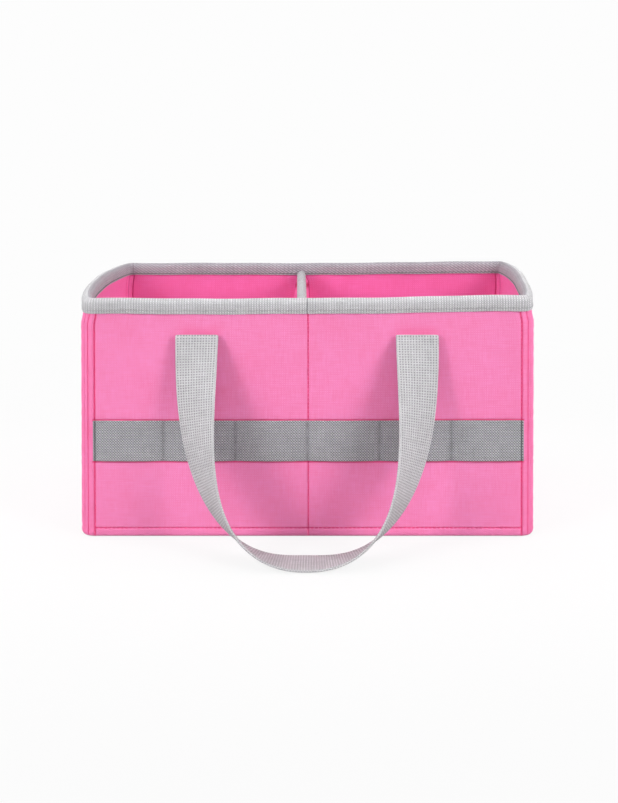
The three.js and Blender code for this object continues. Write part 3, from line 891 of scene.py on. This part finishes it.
# Base boards
def outline(low, high, inset):
    """Points round a base board's rounded rectangle, as many for every inset."""
    corner = max(PAD_CORNER - inset, MM)
    x0, x1 = low.x + inset + corner, high.x - inset - corner
    y0, y1 = low.y + inset + corner, high.y - inset - corner
    arcs = []
    for quarter, centre in enumerate([(x1, y0), (x1, y1), (x0, y1), (x0, y0)]):
        turn = np.radians(90 * quarter - 90 + np.linspace(0, 90, 8))
        arcs.append(np.array(centre) + corner * columns(np.cos(turn), np.sin(turn)))
    share = np.linspace(0, 1, 18)[1:-1, None]
    straights = [arc[-1] + (after[0] - arc[-1]) * share for arc, after in zip(arcs, arcs[1:] + arcs[:1])]
    return np.concatenate([part for pair in zip(arcs, straights) for part in pair])


def pad_section(foot, top):
    """Insets and heights of a pad cover: from its hem below, round its edge and over its domed top."""
    turn = np.linspace(0, math.pi / 2, 6)
    rise, over = PAD_EDGE * np.sin(turn), PAD_EDGE * np.cos(turn)
    groove = PAD_STITCH + MM * np.array([-1, -0.4, 0, 0.4, 1, 4])
    flat = np.concatenate([groove, np.linspace(14 * MM, 40 * MM, 8)])
    dome = PAD_DOME * smooth(flat, 0, 30 * MM) - 0.4 * MM * ridge(flat - PAD_STITCH, 0.7 * MM)
    inset = np.concatenate([[PAD_HEM], PAD_EDGE - rise, PAD_EDGE - over, flat])
    return inset, np.concatenate([[foot], foot + PAD_EDGE - over, top - PAD_EDGE + rise, top + dome])


def add_base_pad(side):
    low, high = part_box(f"{side}_base_cover")
    section = zip(*pad_section(low.z, high.z))
    skin = np.array([columns(*outline(low, high, inset).T, level) for inset, level in section])
    rows, count = skin.shape[:2]
    points = skin.reshape(-1, 3)
    here = np.arange(rows - 1)[:, None] * count
    middle = rung_faces(count)[:, [1, 0, 3, 2]] + (rows - 1) * count
    faces = np.concatenate([skin_faces(here, here + count, count), middle])[:, ::-1]
    piece = add_mesh(f"{side}_pad_cloth", points, faces, points[faces][:, :, :2], lining_cloth)
    thicken = piece.modifiers.new("thickness", "SOLIDIFY")
    thicken.thickness = PAD_CLOTH
    thicken.offset = -1
    belongs(piece, f"{side}_base_pad", "lining_cloth", f"{side}_base_cover")


# Thread
def stitches(name, starts, ends, normals, material, body, slot):
    """Short arched threads from starts to ends, standing on the cloth along normals."""
    share = np.array([0, 0.14, 0.36, 0.64, 0.86, 1])
    lift = np.array([-1.4, 0.1, 0.75, 0.75, 0.1, -1.4]) * THREAD_RADIUS
    girth = np.array([0.7, 0.95, 1, 1, 0.95, 0.7]) * THREAD_RADIUS
    way = ends - starts
    aside = np.cross(normals, unit(way))
    angle = np.linspace(0, 2 * math.pi, 7)[:-1]
    middle = starts[:, None] + way[:, None] * share[:, None] + normals[:, None] * lift[:, None]
    circle = aside[:, None, None] * np.cos(angle)[:, None]
    circle += normals[:, None, None] * np.sin(angle)[:, None]
    points = middle[:, :, None] + circle * girth[:, None, None]
    count, rings, around = points.shape[:3]
    base = (np.arange(count) * rings * around)[:, None, None]
    here = base + np.arange(rings - 1)[:, None] * around
    rung = rung_faces(around)
    first = base + rung
    last = base + (rings - 1) * around + rung[:, ::-1]
    faces = [skin_faces(here, here + around, around), first.reshape(-1, 4), last.reshape(-1, 4)]
    faces = np.concatenate(faces)[:, ::-1]
    piece = add_mesh(name, points.reshape(-1, 3), faces, np.zeros((len(faces), 4, 2)), material, sharp=80)
    belongs(piece, body, slot)


def wall_row(side, start, end, inset, pitch=STITCH_PITCH, length=STITCH_LENGTH):
    """Stitches on a wall between two places, each an along and a height."""
    start, end = np.array(start), np.array(end)
    count = max(1, round(np.linalg.norm(end - start) / pitch))
    first = start + (end - start) * (np.arange(count) / count)[:, None]
    last = first + (end - start) * (length / pitch / count)
    a, b = (wall(side, ends[:, 0], inset, ends[:, 1]) for ends in (first, last))
    return a, b, unit(wall(side, first[:, 0], inset - MM, first[:, 1]) - a)


def path_row(points, normal):
    """Stitches along a row of points that share one normal."""
    travelled = lengths(points)
    count = max(1, round(travelled[-1] / STITCH_PITCH))
    begin = travelled[-1] * np.arange(count) / count
    stop = begin + STITCH_LENGTH / STITCH_PITCH * travelled[-1] / count
    first, last = (at_lengths(points, travelled, places) for places in (begin, stop))
    return first, last, np.tile(np.array(normal, float), (count, 1))


def join(rows):
    return [np.concatenate(part) for part in zip(*rows)]


def add_wall_thread():
    rows, tape_rows, inner_rows = [], [], []
    for side in SIDES.values():
        middle, edge = line_shift(side), seam_at(side)
        left, right = middle - stitch_at(side), middle + stitch_at(side)
        for place in (left, right):
            rows.append(wall_row(side, (place, ROLL), (place, TAPE_FOOT), 1.0 * MM))
        rows.append(wall_row(side, (left, BASE_STITCH), (right, BASE_STITCH), 0.65 * MM))
        if not is_end(side):
            rows.append(wall_row(side, (middle, 9 * MM), (middle, TAPE_FOOT), 0.75 * MM))
        line = TAPE_FOOT + TAPE_STITCH
        out = TAPE_INNER + TAPE_THICK - THREAD_SINK
        tape_rows.append(wall_row(side, (-edge, line), (edge, line), WALL / 2 - out))
        a, b, normal = wall_row(side, (-edge, line), (edge, line), WALL / 2 + out)
        inner_rows.append((a, b, -normal))
    stitches("cloth_thread", *join(rows), pink_thread, "caddy", "outer_cloth")
    stitches("tape_thread", *join(tape_rows), grey_thread, "caddy", "tape")
    stitches("inner_tape_thread", *join(inner_rows), dark_thread, "caddy", "tape")


def add_elastic_thread():
    rows = []
    for place in ELASTIC_LINES[1:-1]:
        foot, top = (place, elastic_low.z + MM), (place, elastic_high.z - MM)
        inset = -ELASTIC_THICK - elastic_stand(place)
        rows.append(wall_row(FRONT, foot, top, inset, ELASTIC_PITCH, ELASTIC_LENGTH))
    stitches("elastic_thread", *join(rows), elastic_thread, "caddy", "elastic")


def add_handle_thread():
    """A sewn square with its two diagonals on each handle's ends."""
    rows = []
    low, high = tab_low.z + TAB_STITCH, tab_high.z - TAB_STITCH
    half = WEB_WIDTH / 2 - TAB_STITCH
    for turned, shift in ((1, 0), (-1, BACK_HANDLE_SHIFT)):
        y = -turned * (FOLD_OUT - FOLD_GAP)
        for place in (shift - HANDLE_HALF, shift + HANDLE_HALF):
            left, right = place - half, place + half
            corners = np.array([(left, y, low), (right, y, low), (right, y, high), (left, y, high)])
            for line in ((0, 1), (1, 2), (2, 3), (3, 0), (0, 2), (1, 3)):
                rows.append(path_row(corners[list(line)], (0, -turned, 0)))
    stitches("handle_thread", *join(rows), grey_thread, "caddy", "webbing")


def add_pad_thread():
    for side in ("left", "right"):
        low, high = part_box(f"{side}_base_cover")
        points = columns(*outline(low, high, PAD_STITCH).T, high.z - 0.35 * MM)
        row = path_row(np.concatenate([points, points[:1]]), (0, 0, 1))
        stitches(f"{side}_pad_thread", *row, pink_thread, f"{side}_base_pad", "lining_cloth")


def add_divider_thread():
    rows = []
    line = divider_low.z + TAPE_STITCH
    for sign in (1, -1):
        x = sign * (TAPE_INNER + DIVIDER_TAPE - THREAD_SINK)
        ends = np.array([(x, divider_low.y, line), (x, divider_high.y, line)])
        first, last, normal = path_row(ends, (sign, 0, 0))
        rows.append((lean(first), lean(last), normal))
    stitches("divider_thread", *join(rows), grey_thread, "caddy", "tape")


add_outer_cloth()
add_plate("base_cloth", "outer_base_panel", "outer_cloth", outer_cloth, 0.15 * MM)
add_plate("base_lining", "lining_base", "lining_cloth", lining_cloth, 0.1 * MM)
add_lining()
add_boards()
add_rim()
add_divider_covers()
add_divider_board()
add_divider_tape()
add_elastic()
add_handle("front_handle", 1)
add_handle("back_handle", -1)
add_base_pad("left")
add_base_pad("right")
add_wall_thread()
add_elastic_thread()
add_handle_thread()
add_pad_thread()
add_divider_thread()
for side in ("left", "right"):
    board = bpy.data.objects[f"{side}_base_board"]
    board.data.materials.clear()
    board.data.materials.append(cardboard)


# Stage
WHITE = 0.982
SHADOW_FADE = (0.3, 0.7)
FLOOR_BOUNCE, FLOOR_SHADOW, FLOOR_GLOW = 0.38, 0.12, 0.854
WORLD_FILL = 0.14
LENS, SENSOR = 58.878, 36
SHIFT_X, SHIFT_Y = -14.3 / 803, -0.2
CAMERA_PLACE = (0.012, -1.0589, 0.338)
CAMERA_DIP = 6.711


def grey(value):
    return (value, value, value, 1)


def shining(tree, kind, strength):
    return add_node(tree, kind, {"Color": grey(1), "Strength": strength}).outputs[0]


def empty_tree(owner):
    owner.use_nodes = True
    owner.node_tree.nodes.clear()
    return owner.node_tree


def add_floor():
    """A pale floor that the camera sees white away from the object, with the object's shadow near it."""
    material = bpy.data.materials.new("floor")
    tree = empty_tree(material)
    seen = add_node(tree, "LightPath", {}).outputs["Is Camera Ray"]
    matt = add_node(tree, "BsdfDiffuse", {"Color": grey(FLOOR_BOUNCE)})
    paper = add_node(tree, "BsdfDiffuse", {"Color": grey(FLOOR_SHADOW)})
    near = add_node(tree, "AddShader", {0: paper.outputs[0], 1: shining(tree, "Emission", FLOOR_GLOW)})
    place = add_node(tree, "TexCoord", {}).outputs["Object"]
    distance = add_node(tree, "VectorMath", {0: place}, operation="LENGTH").outputs["Value"]
    outside = remap(tree, distance, *SHADOW_FADE, 0.0, 1.0)
    far = shining(tree, "Emission", WHITE)
    white = add_node(tree, "MixShader", {0: outside, 1: near.outputs[0], 2: far})
    both = add_node(tree, "MixShader", {0: seen, 1: matt.outputs[0], 2: white.outputs[0]})
    add_node(tree, "OutputMaterial", {"Surface": both.outputs[0]})
    bpy.ops.mesh.primitive_plane_add(size=12, location=(0, 0, -0.0002))
    floor = bpy.context.object
    floor.name = "floor"
    floor.data.materials.append(material)


def add_light(name, location, target, size, power, spread=180):
    data = bpy.data.lights.new(name, "AREA")
    data.shape = "RECTANGLE"
    data.size, data.size_y = size
    data.energy = power
    data.spread = math.radians(spread)
    light = add_object(name, data)
    light.visible_camera = False
    light.location = location
    way = np.array(target) - np.array(location)
    yaw = math.atan2(way[1], way[0]) - math.pi / 2
    pitch = math.atan2(way[2], math.hypot(way[0], way[1]))
    light.rotation_euler = (math.pi / 2 + pitch, 0, yaw)


def add_lights():
    box, low_box = (0.7, 0.7), (1.2, 0.6)
    for name, side in (("left", -1), ("right", 1)):
        front, back = (side * 0.2, -0.1, 0.16), (side * 0.2, 0.1, 0.16)
        add_light(f"front_{name}_softbox", (side, -0.8, 0.68), front, box, 1.13, spread=45)
        add_light(f"back_{name}_softbox", (side, 0.8, 0.9), back, box, 0.2, spread=45)
        add_light(f"{name}_wing", (side * 1.2, 0.1, 0.9), (0, 0, 0.15), (0.8, 0.8), 7)
    add_light("low_front_softbox", (0, -1.8, 0.4), (0, 0, 0.1), low_box, 5.5)
    add_light("low_back_softbox", (0, 1.8, 0.4), (0, 0, 0.1), low_box, 18)
    add_light("top_softbox", (0, 0, 1.5), (0, 0.001, 0), box, 0.6, spread=60)


def add_world():
    world = bpy.data.worlds.new("studio")
    bpy.context.scene.world = world
    tree = empty_tree(world)
    seen = add_node(tree, "LightPath", {}).outputs["Is Camera Ray"]
    fill, white = (shining(tree, "Background", strength) for strength in (WORLD_FILL, WHITE))
    both = add_node(tree, "MixShader", {0: seen, 1: fill, 2: white})
    add_node(tree, "OutputWorld", {"Surface": both.outputs[0]})


def add_camera():
    data = bpy.data.cameras.new("camera")
    data.lens, data.sensor_width = LENS, SENSOR
    data.shift_x, data.shift_y = SHIFT_X, SHIFT_Y
    camera = add_object("camera", data)
    camera.location = CAMERA_PLACE
    camera.rotation_euler = (math.radians(90 - CAMERA_DIP), 0, 0)
    bpy.context.scene.camera = camera


add_floor()
add_lights()
add_world()
add_camera()
bpy.context.scene.view_settings.view_transform = "Standard"
